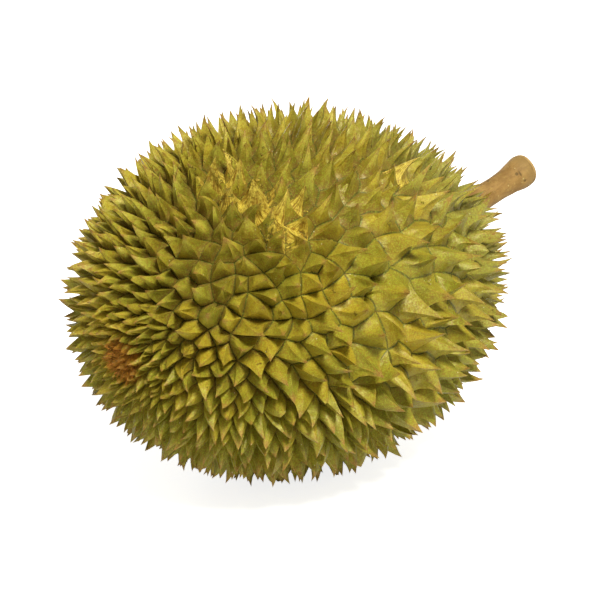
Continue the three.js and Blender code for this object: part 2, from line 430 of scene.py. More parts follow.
def shares_in(points, side):
    """Barycentric shares of points in their sides, as whole numbers of rows."""
    a, b, c = cage[side_a[side]], cage[side_b[side]], cage[side_tip[side]]
    normal = np.cross(b - a, c - a)
    size = (normal * normal).sum(axis=1)
    to_b = (np.cross(points - a, c - a) * normal).sum(axis=1) / size
    to_c = (np.cross(b - a, points - a) * normal).sum(axis=1) / size
    return np.rint(np.stack([1 - to_b - to_c, to_b, to_c], 1) * ROWS).astype(int)


def turned_about(vectors, axes, angles):
    """Each of the vectors, turned about its own unit axis."""
    cosine = np.cos(angles)[:, None]
    sine = np.sin(angles)[:, None]
    along = (vectors * axes).sum(axis=1)[:, None] * axes
    return along + (vectors - along) * cosine + np.cross(axes, vectors) * sine


corner_point = fine_faces.ravel()
corner_side = np.repeat(face_side, 3)
corner_share = shares_in(fine[corner_point], corner_side)

point_side = np.empty(len(fine), int)
point_share = np.empty((len(fine), 3), int)
point_side[corner_point] = corner_side
point_share[corner_point] = corner_share
row = point_share[:, 2]
across = point_share[:, 1] / np.maximum(ROWS - row, 1)
spine = spine_of[point_side]
risen = ROW_RISE[row] * kept[spine]

corner_from = cage[side_a[point_side]]
corner_to = cage[side_b[point_side]]
base = corner_from + (corner_to - corner_from) * across[:, None]
axis = rise[spine] / height[spine, None]
from_foot = turned_about(base - foot[spine], axis, twist[spine] * eased(risen, 0, TWIST_BY))
middle = 4 * across * (1 - across)  # 1 midway between a side's two ridges, and 0 on them
drawn_in = 1 - hollow[spine] * side_hollow[point_side] * middle * eased(risen, 0, HOLLOW_BY)
width = slim[spine] * (1 - risen) + (1 - slim[spine]) * (1 - risen) ** FOOT_TAPER
width *= drawn_in
lift = risen ** flare[spine]
shaped = foot[spine] + from_foot * width[:, None] + rise[spine] * (worn[spine] * lift)[:, None]
shaped += hook[spine] * (worn[spine] * (risen * risen - risen))[:, None]

near_from = np.clip(1 - 2 * across, 0, 1) ** PIT_NARROW
near_to = np.clip(2 * across - 1, 0, 1) ** PIT_NARROW
sunk = pit_depth[side_a[point_side]] * near_from + pit_depth[side_b[point_side]] * near_to
valley_length = np.linalg.norm(corner_to - corner_from, axis=1)
crest = CREST * valley_length * middle
base_way = body_way(base)[0]
stem_half = eased(base_way @ GROWTH, *STEM_HALF)
thorny_here = 1 - eased(base_way @ BROAD_WAY, *BROAD_FLANK)
top_here = eased(base_way[:, 2], *FURROW_TOP)
furrow = stem_half * thorny_here * (FURROW_SIDE_MM + FURROW_TOP_MM * top_here)
furrow = (FURROW_BLOSSOM_MM * (1 - stem_half) + furrow) * MM
keep_rim = seat_rim[side_a[point_side]] & seat_rim[side_b[point_side]]
crest[keep_rim] = 0
furrow[keep_rim] = 0
valley_lift = crest - sunk - furrow
base_normal = body_normal(base)
shaped += base_normal * (valley_lift * (1 - risen) ** FURROW_FADE)[:, None]
set_points(husk.data, shaped)

# -------------------------------------------------------------- husk: what its material reads

GRAIN_START = 0.13  # the grain's lines don't start on a ridge
BROWN_THORNS = 0.4  # how brown, with painted shade, the rind is low between the slender thorns
BROWN_TOP = 0.9

side_width = np.linalg.norm(cage[side_b] - cage[side_a], axis=1)
side_offset = chance.uniform(0, 1, len(sides))
corner_row = corner_share[:, 2]
corner_across = corner_share[:, 1] / np.maximum(ROWS - corner_row, 1)
# A tip belongs to no place across its side, so it takes the mean of its triangle's other corners.
at_tip = corner_row == ROWS
others = np.where(at_tip, 0, corner_across).reshape(-1, 3).sum(axis=1)
others /= np.maximum((~at_tip).reshape(-1, 3).sum(axis=1), 1)
corner_across = np.where(at_tip, np.repeat(others, 3), corner_across)
slant = np.hypot(height, reach)[spine_of[corner_side]]
grain = [
    (corner_across + GRAIN_START) * side_width[corner_side],
    ROW_RISE[corner_row] * slant,
    side_offset[corner_side],
]
from_valley = np.linalg.norm(shaped - (base + base_normal * valley_lift[:, None]), axis=1)
from_ridge = np.minimum(across, 1 - across) * valley_length * width
# How much brown and painted shade the rind takes low between the thorns, most round the blossom and
# on the top.
browned = thorny * (BROWN_THORNS + (1 - BROWN_THORNS) * blossom_half)
browned = np.maximum(browned, BROWN_TOP * topward)
write_attribute(husk.data, "grain", "FLOAT_VECTOR", "CORNER", np.stack(grain, 1))
write_attribute(husk.data, "rise", "FLOAT", "POINT", risen)
write_attribute(husk.data, "from_valley", "FLOAT", "POINT", from_valley / MM)
write_attribute(husk.data, "from_ridge", "FLOAT", "POINT", from_ridge / MM)
write_attribute(husk.data, "tone", "FLOAT", "FACE", tone[spine_of[face_side]])
write_attribute(husk.data, "browned", "FLOAT", "FACE", browned[spine_of[face_side]])

# Where the spines' sides were scuffed to dry ochre: the share of the way along the body, the turn
# round it in degrees, and the radius in millimetres.
SCUFFS = (
    (-0.525, 98.6, 5.5), (-0.456, 102.5, 6), (-0.532, 114.3, 5.5), (-0.446, 116.7, 6.5),
    (-0.46, 125.2, 4.5), (-0.415, 126.3, 4.5), (-0.334, 125.9, 4.5), (-0.428, 134.0, 5.5),
    (-0.402, 115.8, 4), (0.27, 126.9, 4),
)
SCUFF_LEVEL = 1.06  # how far out on the spines they lie
SCUFF_INNER, SCUFF_OUTER = 0.6, 2.0  # times the radius
SCUFF_GAIN = 1.6
SCUFF_SPARED = 0.9  # a side may be scuffed by that much less


def scuff_place(along, turn):
    out_by = math.sqrt(1 - along * along)
    turn = math.radians(turn)
    way = np.array([[along, out_by * math.cos(turn), out_by * math.sin(turn)]])
    centre = np.array(BODY_CENTRE)
    return centre + (body_point(way)[0] - centre) * SCUFF_LEVEL


side_middle = (cage[side_a] + cage[side_b] + cage[side_tip]) / 3
scuffed = np.zeros(len(sides))
for along, turn, radius in SCUFFS:
    away = np.linalg.norm(side_middle - scuff_place(along, turn), axis=1)
    near = 1 - eased(away, SCUFF_INNER * radius * MM, SCUFF_OUTER * radius * MM)
    scuffed = np.maximum(scuffed, near)
scuffed = SCUFF_GAIN * scuffed - chance.uniform(0, SCUFF_SPARED, len(sides))
scuffed = np.clip(scuffed, 0, 1)
write_attribute(husk.data, "scuffed", "FLOAT", "FACE", scuffed[face_side])

# -------------------------------------------------------------- husk: level feet and soft edges

CUT_WELD = 1e-7
CREASE = math.radians(36)

# The fruit's weight has blunted the tips under it, level with the ground.
editing()
bpy.ops.mesh.bisect(
    plane_co=(0, 0, 0), plane_no=(0, 0, 1), clear_inner=True, use_fill=True, threshold=CUT_WELD
)
done_editing()
editing()
bpy.ops.mesh.quads_convert_to_tris()
done_editing()
bpy.ops.object.shade_smooth_by_angle(angle=CREASE)
husk.data.attributes.remove(husk.data.attributes["side"])

# -------------------------------------------------------------- stem: a ring pulled up its axis

# Height above the husk and radius of each ring, in millimetres.
STEM_RINGS = (
    (-3.2, 1.4), (-1.8, 4.0), (-0.6, 6.4), (0.3, 7.7), (1.6, 7.8), (4.0, 7.45), (10.0, 7.1),
    (18.0, 7.0), (26.0, 6.95), (34.0, 7.0), (39.5, 7.1), (43.5, 7.7), (47.0, 8.6), (50.0, 9.1),
    (52.8, 9.2), (55.0, 8.9), (56.3, 7.9), (56.8, 5.4), (57.0, 2.4),
)
RING_SIDES = 28
FINER = 2
# The rest of the stem's measures are in millimetres too.
KNOB_FROM, KNOB_TO = 33.0, 57.0
KNOB_OFFSET = 1.0  # the knob swells more on its upper side
LUMPS = ((1, 2.1), (2, 3.4), (3, 1.7), (4, 5.2), (5, 7.6))  # waves round the stem and along it
LUMP_LENGTH = 10
LUMP_PHASE = (0, 6.3)  # radians
LUMP_FADE = 0.5
LUMP_HEIGHT = 0.02
LUMPY_FROM = (2, 8)  # the foot of the stem isn't lumpy
RIM_AT, RIM_WIDTH, RIM_DEPTH = 53.6, 0.45, 0.025  # the cut edge round the knob's end
END_RADIUS = 8
END_FROM = (55.6, 56.7)
END_WAVY, END_DISH = 0.18, 0.9
END_WAVES, END_TURN = 3, 0.8
STEM_CREASE = math.radians(60)

stem_up = np.array([0, 0, 1.0]) - stem_axis * stem_axis[2]
stem_up /= np.linalg.norm(stem_up)
stem_frame = Matrix.Translation(Vector(stem_root)) @ Matrix(
    np.stack([stem_up, np.cross(stem_axis, stem_up), stem_axis], 1).tolist()
).to_4x4()

stem = new_piece("stem_bark", bpy.data.meshes.new("stem_bark"))
pull_up(
    radius=STEM_RINGS[0][1] * MM,
    low=STEM_RINGS[0][0] * MM,
    sides=RING_SIDES,
    steps=[
        ((0, 0, (upper - lower) * MM), (wide / narrow, wide / narrow, 1))
        for (lower, narrow), (upper, wide) in zip(STEM_RINGS, STEM_RINGS[1:])
    ],
)
finer = stem.modifiers.new("finer", "SUBSURF")
finer.levels = FINER
finer.render_levels = FINER
bpy.ops.object.modifier_apply(modifier=finer.name)

# The knob hangs over to one side, and the bark is a little lumpy, with a dished end.
bark = points_of(stem.data)
around = np.arctan2(bark[:, 1], bark[:, 0])
up_stem = bark[:, 2] / MM
bark[:, 0] += KNOB_OFFSET * MM * eased(up_stem, KNOB_FROM, KNOB_TO)
lumps = np.zeros(len(bark))
for turns, waves in LUMPS:
    phase = chance.uniform(*LUMP_PHASE)
    wave = np.cos(turns * around + waves * up_stem / LUMP_LENGTH + phase)
    lumps += wave / (1 + LUMP_FADE * turns)
swell = 1 + LUMP_HEIGHT * lumps * eased(up_stem, *LUMPY_FROM)
swell -= RIM_DEPTH * np.exp(-((up_stem - RIM_AT) / RIM_WIDTH) ** 2)
bark[:, :2] *= swell[:, None]
out_share = np.minimum(np.hypot(bark[:, 0], bark[:, 1]) / (END_RADIUS * MM), 1)
wavy = END_WAVY * out_share * np.cos(END_WAVES * around + END_TURN) - END_DISH * (1 - out_share)
bark[:, 2] += wavy * MM * eased(up_stem, *END_FROM)
set_points(stem.data, bark)
write_attribute(stem.data, "up_stem", "FLOAT", "POINT", up_stem)
write_attribute(stem.data, "bark_at", "FLOAT_VECTOR", "POINT", bark)
stem.data.transform(stem_frame)
bpy.ops.object.shade_smooth_by_angle(angle=STEM_CREASE)

# -------------------------------------------------------------- blossom scar: dry brown fibres

FIBRES = 190
FELT_RADIUS = 9.5 * MM
FELT_SPREAD = (0.01, 1)
FIBRE_LENGTH = 2.5 * MM
FIBRE_RADIUS = 0.12 * MM
FIBRE_SIDES = 4
FIBRE_CURL = 0.3
# How each quarter of a fibre narrows, and how far it leans over.
FIBRE_QUARTERS = ((0.85, 0.1), (0.75, 0.18), (0.6, 0.3), (0.25, 0.42))
FIBRE_SIZE = (0.6, 1.25)
FIBRE_TILT = (0.3, 1.3)
FIBRE_UNRULY = 0.35
FIBRE_BASE_MM = (0.5, 3.5)  # how high on the rind they start

one_fibre = new_piece("felt_fibre", bpy.data.meshes.new("felt_fibre"))
pull_up(
    radius=FIBRE_RADIUS,
    low=0,
    sides=FIBRE_SIDES,
    steps=[
        ((aside * FIBRE_LENGTH * FIBRE_CURL, 0, FIBRE_LENGTH / 4), (thinner, thinner, thinner))
        for thinner, aside in FIBRE_QUARTERS
    ],
)

scar_side = np.cross(scar_axis, [0, 0, 1])
scar_side /= np.linalg.norm(scar_side)
scar_up = np.cross(scar_side, scar_axis)
fibres = [one_fibre]
for _ in range(FIBRES):
    out_by = FELT_RADIUS * math.sqrt(chance.uniform(*FELT_SPREAD))
    turn = chance.uniform(0, 2 * math.pi)
    away = scar_side * math.cos(turn) + scar_up * math.sin(turn)
    spot = body_point(body_way((scar_middle + away * out_by)[None])[0])[0]
    normal = body_normal(spot[None])[0]
    tilt = chance.uniform(*FIBRE_TILT) + out_by / FELT_RADIUS
    grow = normal + away * tilt + chance.normal(0, FIBRE_UNRULY, 3)
    grow /= np.linalg.norm(grow)
    across_it = np.cross(grow, normal)
    across_it /= np.linalg.norm(across_it)
    size = chance.uniform(*FIBRE_SIZE)
    turned_to = Matrix(np.stack([np.cross(across_it, grow), across_it, grow], 1).tolist())
    fibre = one_fibre.copy()
    fibre.data = one_fibre.data.copy()
    bpy.context.scene.collection.objects.link(fibre)
    base_at = Vector(spot + normal * chance.uniform(*FIBRE_BASE_MM) * MM)
    placed = Matrix.Translation(base_at) @ turned_to.to_4x4() @ Matrix.Scale(size, 4)
    fibre.data.transform(placed)
    fibre.select_set(True)
    fibres.append(fibre)
bpy.data.objects.remove(fibres.pop(0))
bpy.context.view_layer.objects.active = fibres[0]
bpy.ops.object.join()
felt = bpy.context.object
felt.name = "blossom_felt"

# -------------------------------------------------------------- materials: helpers


def tint(red, green, blue):
    """A display colour, 0 to 255, as the linear colour that a shader takes."""
    display = [part / 255 for part in (red, green, blue)]
    return [p / 12.92 if p <= 0.04045 else ((p + 0.055) / 1.055) ** 2.4 for p in display] + [1]


def palette(**shades):
    return {name: tint(*shade) for name, shade in shades.items()}


def give(tree, node, inputs):
    """Sets each input of a node to a value, or links it to another node's output."""
    for name, value in inputs.items():
        if isinstance(value, bpy.types.NodeSocket):
            tree.links.new(value, node.inputs[name])
        else:
            node.inputs[name].default_value = value


def put(tree, kind, inputs=None, **settings):
    """Adds a node with its settings and inputs, and returns its outputs."""
    made = tree.nodes.new(kind)
    for name, value in settings.items():
        setattr(made, name, value)
    give(tree, made, inputs or {})
    return made.outputs


def maths(tree, operation, *values):
    return put(tree, "ShaderNodeMath", dict(enumerate(values)), operation=operation)[0]


def plus(tree, first, second):
    return maths(tree, "ADD", first, second)


def minus(tree, first, second):
    return maths(tree, "SUBTRACT", first, second)


def times(tree, first, second):
    return maths(tree, "MULTIPLY", first, second)


def weighed(tree, first, first_weight, second, second_weight):
    return plus(tree, times(tree, first, first_weight), times(tree, second, second_weight))


def swing(tree, value, strength):
    """A value around a half, as one around 0 that is strength times as strong."""
    return times(tree, minus(tree, value, 0.5), strength)


def between(tree, value, span, to=(0.0, 1.0)):
    """Maps value from one span to the other, with an eased start and end."""
    given = {"Value": value, "From Min": span[0], "From Max": span[1]}
    given.update({"To Min": to[0], "To Max": to[1]})
    return put(tree, "ShaderNodeMapRange", given, interpolation_type="SMOOTHSTEP")["Result"]


def blended(tree, share, under, over, blend="MIX"):
    """A share of one colour laid over another."""
    given = {0: share, 6: under, 7: over}
    settings = {"data_type": "RGBA", "blend_type": blend, "clamp_factor": True}
    return put(tree, "ShaderNodeMix", given, **settings)[2]


def noise(tree, vector, scale, detail, roughness, distortion=0.0):
    given = {"Vector": vector, "Scale": scale, "Detail": detail, "Roughness": roughness}
    return put(tree, "ShaderNodeTexNoise", {**given, "Distortion": distortion})["Fac"]


def attribute(tree, name, output="Fac"):
    return put(tree, "ShaderNodeAttribute", attribute_name=name)[output]


def parts_of(tree, vector):
    return put(tree, "ShaderNodeSeparateXYZ", {0: vector})


def bump(tree, height, strength, depth, **given):
    given = {"Height": height, "Strength": strength, "Distance": depth, **given}
    return put(tree, "ShaderNodeBump", given)["Normal"]


def nearness(tree, position, place, edge):
    """1 within the first distance of the edge from a place, and 0 past the second."""
    given = {0: position, 1: tuple(place)}
    away = put(tree, "ShaderNodeVectorMath", given, operation="DISTANCE")["Value"]
    return between(tree, away, edge, (1.0, 0.0))


VECTOR, NUMBER, COLOUR = "NodeSocketVector", "NodeSocketFloat", "NodeSocketColor"


def group_of(name, inputs, outputs):
    """An empty node group: its inputs are (name, kind, value), and its outputs (name, kind)."""
    group = bpy.data.node_groups.new(name, "ShaderNodeTree")
    for label, kind, value in inputs:
        socket = group.interface.new_socket(name=label, in_out="INPUT", socket_type=kind)
        if value is not None:
            socket.default_value = value
    for label, kind in outputs:
        group.interface.new_socket(name=label, in_out="OUTPUT", socket_type=kind)
    given = group.nodes.new("NodeGroupInput").outputs
    return group, given, group.nodes.new("NodeGroupOutput")


def use(tree, group, inputs):
    return put(tree, "ShaderNodeGroup", inputs, node_tree=group)


def new_material(name):
    material = bpy.data.materials.new(name)
    material.use_nodes = True
    tree = material.node_tree
    return material, tree, tree.nodes["Principled BSDF"]


# -------------------------------------------------------------- materials: shared effects

MOTTLE_FINER = 7.3  # how many times finer the flecks are than the patches
LINES_FINER = 2.7


def make_mottle():
    """Soft patches of a second colour over a first, with finer flecks of it inside."""
    group, given, out = group_of(
        "mottle",
        [
            ("Vector", VECTOR, None),
            ("Under", COLOUR, (1, 1, 1, 1)),
            ("Over", COLOUR, (0, 0, 0, 1)),
            ("Scale", NUMBER, 60.0),
            ("Spread", NUMBER, 0.5),
            ("Strength", NUMBER, 1.0),
        ],
        [("Color", COLOUR), ("Mask", NUMBER)],
    )
    vector, scale = given["Vector"], given["Scale"]
    broad = noise(group, vector, scale=scale, detail=4, roughness=0.6, distortion=0.4)
    finer = times(group, scale, MOTTLE_FINER)
    fine = noise(group, vector, scale=finer, detail=3, roughness=0.6)
    both = weighed(group, broad, 0.7, fine, 0.3)
    # The larger the spread, the lower in the noise a patch starts.
    low = minus(group, 0.62, times(group, given["Spread"], 0.24))
    high = plus(group, low, 0.16)
    mask = times(group, between(group, both, (low, high)), given["Strength"])
    colour = blended(group, mask, given["Under"], given["Over"])
    give(group, out, {"Mask": mask, "Color": colour})
    return group


def make_specks():
    """Small round spots, scattered one to a cell, of which only a share shows."""
    group, given, out = group_of(
        "specks",
        [
            ("Vector", VECTOR, None),
            ("Scale", NUMBER, 300.0),
            ("Size", NUMBER, 0.25),
            ("Share", NUMBER, 0.2),
        ],
        [("Mask", NUMBER)],
    )
    cells = put(
        group, "ShaderNodeTexVoronoi", {"Vector": given["Vector"], "Scale": given["Scale"]}
    )
    inner = times(group, given["Size"], 0.5)
    spot = between(group, cells["Distance"], (inner, given["Size"]), (1.0, 0.0))
    picked = put(group, "ShaderNodeSeparateColor", {"Color": cells["Color"]})["Red"]
    shown = maths(group, "LESS_THAN", picked, given["Share"])
    give(group, out, {"Mask": times(group, spot, shown)})
    return group


def make_lines():
    """Fine lines along the second axis of the vector, from 0 to 1."""
    group, given, out = group_of(
        "fibre_lines",
        [("Vector", VECTOR, None), ("Scale", NUMBER, 900.0), ("Length", NUMBER, 8.0)],
        [("Value", NUMBER)],
    )
    apart = parts_of(group, given["Vector"])
    along = maths(group, "DIVIDE", apart["Y"], given["Length"])
    drawn = {"X": apart["X"], "Y": along, "Z": apart["Z"]}
    drawn = put(group, "ShaderNodeCombineXYZ", drawn)[0]
    coarse = noise(group, drawn, scale=given["Scale"], detail=2, roughness=0.5)
    finer = times(group, given["Scale"], LINES_FINER)
    fine = noise(group, drawn, scale=finer, detail=2, roughness=0.5)
    both = weighed(group, coarse, 0.6, fine, 0.4)
    give(group, out, {"Value": between(group, both, (0.32, 0.68))})
    return group


MOTTLE = make_mottle()
SPECKS = make_specks()
LINES = make_lines()


def mottled(tree, vector, colour, layers):
    """A colour under patches of others, each layer as (colour, scale, spread, strength)."""
    for over, scale, patches, strength in layers:
        given = {"Vector": vector, "Under": colour, "Over": over}
        given.update({"Scale": scale, "Spread": patches, "Strength": strength})
        colour = use(tree, MOTTLE, given)["Color"]
    return colour


def specks(tree, vector, scale, size, share):
    given = {"Vector": vector, "Scale": scale, "Size": size, "Share": share}
    return use(tree, SPECKS, given)["Mask"]


def grain_lines(tree, vector, scale, length):
    return use(tree, LINES, {"Vector": vector, "Scale": scale, "Length": length})["Value"]


# -------------------------------------------------------------- rind

RIND = palette(
    olive=(160, 138, 33), green=(123, 122, 33), shade=(104, 92, 24), rust=(126, 92, 30),
    # Painted shade in a dull brown and painted light for the fruit's top are on the next line.
    straw=(182, 166, 50), dull=(88, 74, 24), bright=(186, 176, 66), bloom=(148, 144, 72),
    # The ridges' tan on the next line also serves as a painted highlight.
    waxy=(188, 170, 42), ridge=(172, 138, 56), tip_dark=(122, 80, 36), tip_light=(158, 116, 58),
    # The low brown on the next line also holds painted shade in the hollows.
    low_brown=(116, 90, 44), valley_line=(58, 70, 28), stain=(122, 84, 34),
    fleck=(226, 218, 170), grit_brown=(132, 94, 34), grit_yellow=(166, 170, 56),
    ochre_dark=(140, 106, 32), ochre_light=(210, 190, 76), scar_dark=(130, 77, 20),
    scar_light=(175, 118, 38), sheen=(255, 244, 190),
)
# Heights above the ground, each as where a change starts and where it is whole.
GREENER_BELOW = (0.02, 0.1)
SIDES_DIFFER = (0.1, 0.17)
TOPMOST = (0.1, 0.16)
# Distances from a middle, each as the inner and the outer one.
STEM_BLOOM = (0.035, 0.125)
SCAR_STAIN = (0.004, 0.019)
LUMP_DEPTH = 1.6 * MM
RELIEF_DEPTH = 0.15 * MM


def rind_colour(tree, position, grain_at, lines, fine, patchy, torn):
    """The rind's colour, and the mask of its scuffs."""
    rise_at = attribute(tree, "rise")
    tone_at = attribute(tree, "tone")
    valley_mm = attribute(tree, "from_valley")
    ridge_mm = attribute(tree, "from_ridge")
    browned_at = attribute(tree, "browned")
    height_at = parts_of(tree, position)["Z"]
    broad = noise(tree, position, scale=16, detail=2, roughness=0.5)
    near_stem = nearness(tree, position, stem_root, STEM_BLOOM)

    # Yellow olive and green rind by region and by spine.
    shift = weighed(tree, broad, 0.9, tone_at, 0.35)
    shift = plus(tree, shift, between(tree, height_at, GREENER_BELOW, (0.3, 0.0)))
    shift = plus(tree, shift, times(tree, near_stem, 0.25))
    colour = blended(tree, between(tree, shift, (0.4, 0.85)), RIND["olive"], RIND["green"])
    layers = (
        (RIND["shade"], 110.0, 0.5, 0.6),
        (RIND["rust"], 480.0, 0.5, 0.5),
        (RIND["straw"], 620.0, 0.35, 0.45),
    )
    colour = mottled(tree, position, colour, layers)

    # Each side of a spine is a little lighter or darker than the next, most of all on the top.
    side_own = between(tree, parts_of(tree, grain_at)["Z"], (0, 1), (-1.0, 1.0))
    differ = between(tree, height_at, SIDES_DIFFER, (0.1, 0.27))
    side_shade = maths(tree, "MULTIPLY_ADD", side_own, differ, 1.0)
    colour = blended(tree, 1.0, colour, side_shade, "MULTIPLY")

    # On the fruit's top the spines carry painted shade, a dull brown, low on their sides, and
    # painted light, a bright yellow green, higher up.
    topmost = times(tree, between(tree, height_at, TOPMOST), browned_at)
    dull = times(tree, topmost, between(tree, rise_at, (0.08, 0.55), (0.6, 0.0)))
    colour = blended(tree, dull, colour, RIND["dull"])
    bright = times(tree, topmost, between(tree, rise_at, (0.3, 0.65), (0.0, 0.55)))
    colour = blended(tree, bright, colour, RIND["bright"])

    # A paler, greyer bloom with fine lines round the stem.
    bloom = times(tree, near_stem, between(tree, lines, (0.0, 1.0), (0.35, 0.85)))
    colour = blended(tree, bloom, colour, RIND["bloom"])

    # Lighter, waxier patches, and ridges that have dried to tan and carry a painted highlight.
    away_from_stem = between(tree, near_stem, (0, 1), (0.4, 0.1))
    waxy = times(tree, between(tree, patchy, (0.45, 0.7)), away_from_stem)
    colour = blended(tree, waxy, colour, RIND["waxy"])
    ridge = between(tree, ridge_mm, (0.1, 0.7), (1.0, 0.0))
    ridge = times(tree, ridge, between(tree, rise_at, (0.1, 0.6)))
    ridge = times(tree, ridge, between(tree, patchy, (0.4, 0.65), (0.05, 0.6)))
    colour = blended(tree, ridge, colour, RIND["ridge"])

    # Brown tips.
    tipped = plus(tree, rise_at, swing(tree, patchy, 0.5))
    tipped = between(tree, plus(tree, tipped, times(tree, tone_at, 0.1)), (0.72, 0.98))
    tip_brown = blended(tree, tone_at, RIND["tip_dark"], RIND["tip_light"])
    colour = blended(tree, times(tree, tipped, 0.85), colour, tip_brown)

    # Brown with painted shade low between the thorns, and a thin dark green line at the bottom of
    # the valleys.
    depth = plus(tree, valley_mm, times(tree, patchy, 3.0))
    depth = between(tree, depth, (1.5, 6.5), (1.0, 0.0))
    low_down = times(tree, depth, between(tree, browned_at, (0, 1), (0.1, 0.9)))
    colour = blended(tree, low_down, colour, RIND["low_brown"])
    line_width = between(tree, patchy, (0.3, 0.7), (0.6, 1.35))
    line = maths(tree, "DIVIDE", valley_mm, line_width)
    line = between(tree, line, (0.4, 1.0), (1.0, 0.0))
    colour = blended(tree, times(tree, line, 0.9), colour, RIND["valley_line"])

    # Small brown stains and white flecks.
    stains = specks(tree, position, scale=240.0, size=0.33, share=0.12)
    colour = blended(tree, times(tree, stains, 0.5), colour, RIND["stain"])
    flecks = specks(tree, position, scale=700.0, size=0.3, share=0.012)
    colour = blended(tree, times(tree, flecks, 0.7), colour, RIND["fleck"])

    # Grain of brown and yellow all over.
    grit = noise(tree, position, scale=1500, detail=2, roughness=0.7)
    colour = blended(tree, between(tree, grit, (0.48, 0.64), (0, 0.6)), colour, RIND["grit_brown"])
    colour = blended(tree, between(tree, grit, (0.5, 0.36), (0, 0.55)), colour, RIND["grit_yellow"])

    # Dry ochre scuffs with a ragged edge.
    scuffed = plus(tree, attribute(tree, "scuffed"), swing(tree, torn, 2.6))
    scuffed = between(tree, scuffed, (0.4, 0.55))
    streaked = between(tree, weighed(tree, fine, 0.6, lines, 0.35), (0.33, 0.6))
    ochre = blended(tree, streaked, RIND["ochre_dark"], RIND["ochre_light"])
    colour = blended(tree, scuffed, colour, ochre)

    # A rust-brown stain where the blossom sat.
    scar = nearness(tree, position, scar_middle, SCAR_STAIN)
    scar = between(tree, plus(tree, scar, swing(tree, torn, 2.2)), (0.3, 0.8))
    flecked = between(tree, fine, (0.35, 0.65))
    rusty = blended(tree, flecked, RIND["scar_dark"], RIND["scar_light"])
    return blended(tree, times(tree, scar, 0.8), colour, rusty), scuffed


def rind_material():
    material, tree, skin = new_material("rind")
    position = put(tree, "ShaderNodeTexCoord")["Object"]
    grain_at = attribute(tree, "grain", "Vector")
    lines = grain_lines(tree, grain_at, scale=1500.0, length=9.0)
    patchy = noise(tree, position, scale=75, detail=4, roughness=0.6)
    fine = noise(tree, position, scale=520, detail=4, roughness=0.65)
    torn = noise(tree, position, scale=210, detail=5, roughness=0.65, distortion=0.6)
    colour, scuffed = rind_colour(tree, position, grain_at, lines, fine, patchy, torn)

    lumpy = noise(tree, position, scale=210, detail=3, roughness=0.5)
    lumpy = plus(tree, lumpy, times(tree, scuffed, torn))
    lumps = bump(tree, lumpy, 0.55, LUMP_DEPTH)
    relief = weighed(tree, lines, 0.5, fine, 0.8)
    relief = plus(tree, relief, times(tree, scuffed, times(tree, fine, 5.0)))
    finish = {
        "Base Color": colour,
        "Roughness": between(tree, patchy, (0.3, 0.7), (0.33, 0.48)),
        "Specular IOR Level": 0.48,
        "Specular Tint": RIND["sheen"],
        "Normal": bump(tree, relief, 0.6, RELIEF_DEPTH, Normal=lumps),
    }
    give(tree, skin, finish)
    return material


husk.data.materials.append(rind_material())
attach(husk, "root")
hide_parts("husk")

# -------------------------------------------------------------- felt and bark

FELT = palette(dark=(138, 80, 24), light=(186, 126, 48))


def felt_material():
    material, tree, skin = new_material("felt")
    position = put(tree, "ShaderNodeTexCoord")["Object"]
    along = noise(tree, position, scale=260, detail=3, roughness=0.6)
    colour = blended(tree, between(tree, along, (0.35, 0.65)), FELT["dark"], FELT["light"])
    finish = {
        "Base Color": colour,
        "Roughness": between(tree, along, (0.3, 0.7), (0.75, 0.9)),
        "Specular IOR Level": 0.2,
    }
    give(tree, skin, finish)
    return material


felt.data.materials.append(felt_material())
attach(felt, "root")
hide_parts("husk")

BARK = palette(
    brown=(136, 103, 52), tan=(157, 122, 65), streak=(119, 84, 39), dust=(177, 150, 76),
    grime=(119, 96, 52), shoulder=(150, 126, 75), cork_dark=(150, 116, 68),
    cork_light=(184, 150, 91), pith=(97, 68, 36), cork_fleck=(110, 82, 44), rim=(102, 78, 39),
    pore=(85, 64, 31), pale_pore=(207, 190, 124), green_foot=(129, 103, 39),
)
# Heights on the stem in millimetres, each as where a change starts and where it is whole.
CORK = (53.8, 55.2)
SHOULDER_GREY = (44.0, 51.0)
GREEN_FOOT = (0.0, 7.0)
# A long pore across the stem, just below the knob: its height and distance from the axis.
MARK_UP, MARK_OUT = 45.5, 8.5
MARK_TURN = math.radians(55)
MARK_SQUASH = 0.35
MARK_EDGE = (0.3 * MM, 0.8 * MM)
PITH_EDGE = (0.6 * MM, 1.8 * MM)
RING_WAVY = 2.4 * MM


